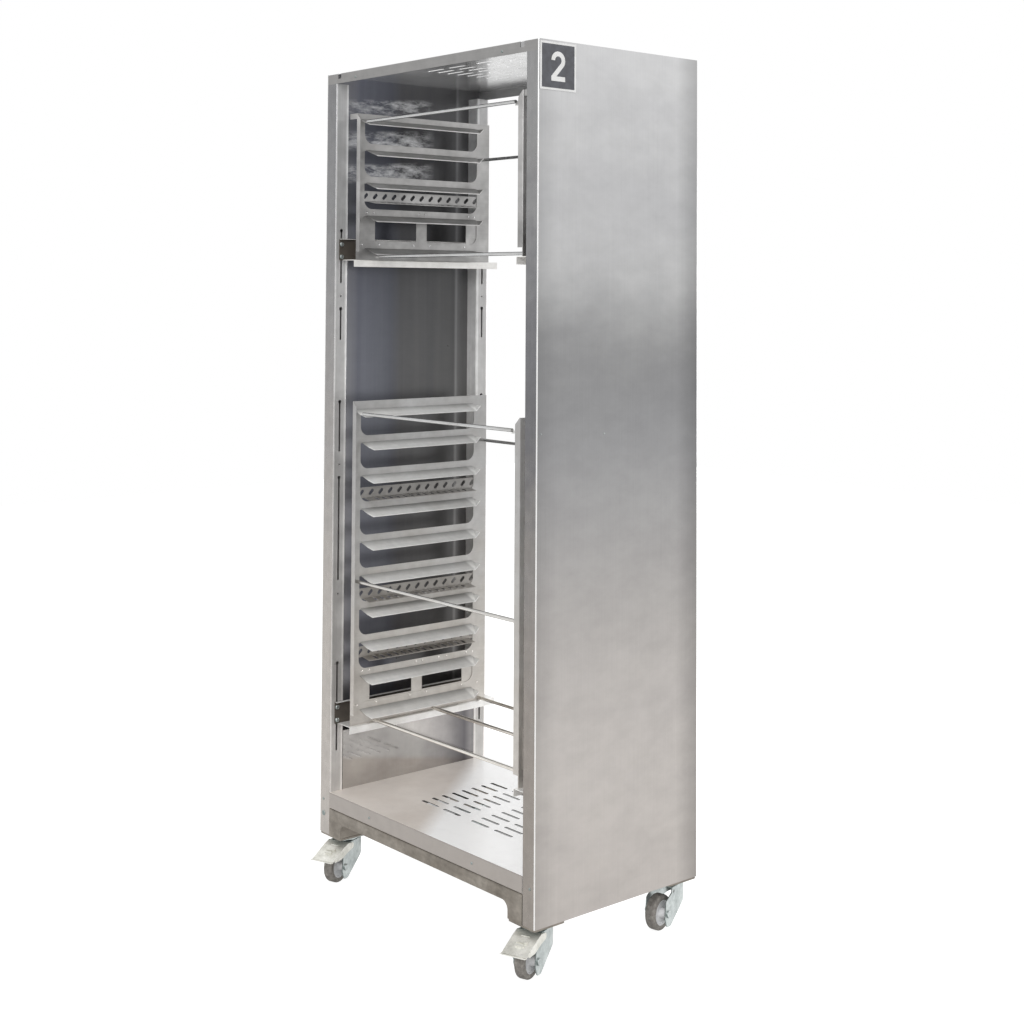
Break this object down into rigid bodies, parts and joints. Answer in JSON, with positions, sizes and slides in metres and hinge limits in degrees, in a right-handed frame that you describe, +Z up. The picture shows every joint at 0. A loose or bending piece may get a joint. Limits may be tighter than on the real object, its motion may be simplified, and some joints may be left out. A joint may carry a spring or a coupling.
{
  "type": "oven rack trolley",
  "caption": "Tall open stainless steel cabinet on swivel castors that carries two lift-out tray racks with sloping side slides.",
  "frame": {"origin": "floor level, under the middle of the whole trolley's bounding box", "axes": "+Z up, the open front faces -Y, +X to the right seen from the front"},
  "size_m": [0.7918, 0.5332, 1.905],
  "materials": {
    "stainless_brushed": "brushed along the height",
    "stainless_polished": "bright polished sheet",
    "stainless_rack": "satin, warm grey",
    "stainless_rail": "satin",
    "zinc_plated": "zinc plated, slightly yellow",
    "castor_rubber": "grey-brown solid rubber",
    "castor_core": "light grey moulded",
    "plate_dark": "dark grey enamel",
    "plate_white": "white film"
  },
  "bodies": {
    "cabinet": {"bearing_rail_lower_left": "stainless_rail", "bearing_rail_lower_right": "stainless_rail", "bearing_rail_upper_left": "stainless_rail", "bearing_rail_upper_right": "stainless_rail", "bottom_pan": "stainless_polished", "castor_mounts": "zinc_plated", "chassis_rail_front": "stainless_polished", "chassis_rail_rear": "stainless_polished", "corner_pads": "stainless_polished", "frame_rivets": "zinc_plated", "liner_left": "stainless_polished", "liner_right": "stainless_polished", "number_figure": "plate_white", "number_plate": "plate_dark", "post_front_left": "stainless_polished", "post_front_right": "stainless_polished", "post_rear_left": "stainless_polished", "post_rear_right": "stainless_polished", "rail_studs": "zinc_plated", "side_panel_left": "stainless_brushed", "side_panel_right": "stainless_brushed", "top_panel": "stainless_brushed"},
    "upper_rack": {"upper_rack_backing_plates": "stainless_rack", "upper_rack_rods": "stainless_rack", "upper_rack_slides_left": "stainless_rack", "upper_rack_slides_right": "stainless_rack", "upper_rack_slotted_strips": "stainless_rack", "upper_rack_wall_left": "stainless_rack", "upper_rack_wall_right": "stainless_rack"},
    "lower_rack": {"lower_rack_backing_plates": "stainless_rack", "lower_rack_rods": "stainless_rack", "lower_rack_slides_left": "stainless_rack", "lower_rack_slides_right": "stainless_rack", "lower_rack_slotted_strips": "stainless_rack", "lower_rack_wall_left": "stainless_rack", "lower_rack_wall_right": "stainless_rack"},
    "castor_front_left": {"castor_fork_front_left": "zinc_plated", "castor_axle_front_left": "zinc_plated"},
    "wheel_front_left": {"castor_tyre_front_left": "castor_rubber", "castor_core_front_left": "castor_core"},
    "castor_front_right": {"castor_fork_front_right": "zinc_plated", "castor_axle_front_right": "zinc_plated"},
    "wheel_front_right": {"castor_tyre_front_right": "castor_rubber", "castor_core_front_right": "castor_core"},
    "castor_rear_left": {"castor_fork_rear_left": "zinc_plated", "castor_axle_rear_left": "zinc_plated"},
    "wheel_rear_left": {"castor_tyre_rear_left": "castor_rubber", "castor_core_rear_left": "castor_core"},
    "castor_rear_right": {"castor_fork_rear_right": "zinc_plated", "castor_axle_rear_right": "zinc_plated"},
    "wheel_rear_right": {"castor_tyre_rear_right": "castor_rubber", "castor_core_rear_right": "castor_core"},
    "pedal_front_left": {"castor_pedal_front_left": "zinc_plated"},
    "pedal_front_right": {"castor_pedal_front_right": "zinc_plated"}
  },
  "joints": [
    {"name": "upper_rack_slide", "type": "slide", "parent": "cabinet", "child": "upper_rack", "axis": [0, -1, 0], "range_m": [0, 0.42]},
    {"name": "lower_rack_slide", "type": "slide", "parent": "cabinet", "child": "lower_rack", "axis": [0, -1, 0], "range_m": [0, 0.42]},
    {"name": "castor_swivel_front_left", "type": "hinge", "parent": "cabinet", "child": "castor_front_left", "pos_m": [-0.34973, -0.16144, 0.0905], "axis": [0, 0, 1], "continuous": true},
    {"name": "wheel_spin_front_left", "type": "hinge", "parent": "castor_front_left", "child": "wheel_front_left", "pos_m": [-0.33673, -0.19715, 0.0375], "axis": [0.9397, 0.342, 0], "continuous": true},
    {"name": "brake_pedal_front_left", "type": "hinge", "parent": "castor_front_left", "child": "pedal_front_left", "pos_m": [-0.34426, -0.17648, 0.081], "axis": [0.9397, 0.342, 0], "range_deg": [0, 8]},
    {"name": "castor_swivel_front_right", "type": "hinge", "parent": "cabinet", "child": "castor_front_right", "pos_m": [0.33427, -0.16144, 0.0905], "axis": [0, 0, 1], "continuous": true},
    {"name": "wheel_spin_front_right", "type": "hinge", "parent": "castor_front_right", "child": "wheel_front_right", "pos_m": [0.34727, -0.19715, 0.0375], "axis": [0.9397, 0.342, 0], "continuous": true},
    {"name": "brake_pedal_front_right", "type": "hinge", "parent": "castor_front_right", "child": "pedal_front_right", "pos_m": [0.33974, -0.17648, 0.081], "axis": [0.9397, 0.342, 0], "range_deg": [0, 8]},
    {"name": "castor_swivel_rear_left", "type": "hinge", "parent": "cabinet", "child": "castor_rear_left", "pos_m": [-0.34973, 0.22156, 0.0905], "axis": [0, 0, 1], "continuous": true},
    {"name": "wheel_spin_rear_left", "type": "hinge", "parent": "castor_rear_left", "child": "wheel_rear_left", "pos_m": [-0.34183, 0.18439, 0.0375], "axis": [0.9781, 0.2079, 0], "continuous": true},
    {"name": "castor_swivel_rear_right", "type": "hinge", "parent": "cabinet", "child": "castor_rear_right", "pos_m": [0.33427, 0.22156, 0.0905], "axis": [0, 0, 1], "continuous": true},
    {"name": "wheel_spin_rear_right", "type": "hinge", "parent": "castor_rear_right", "child": "wheel_rear_right", "pos_m": [0.34217, 0.18439, 0.0375], "axis": [0.9781, 0.2079, 0], "continuous": true}
  ]
}
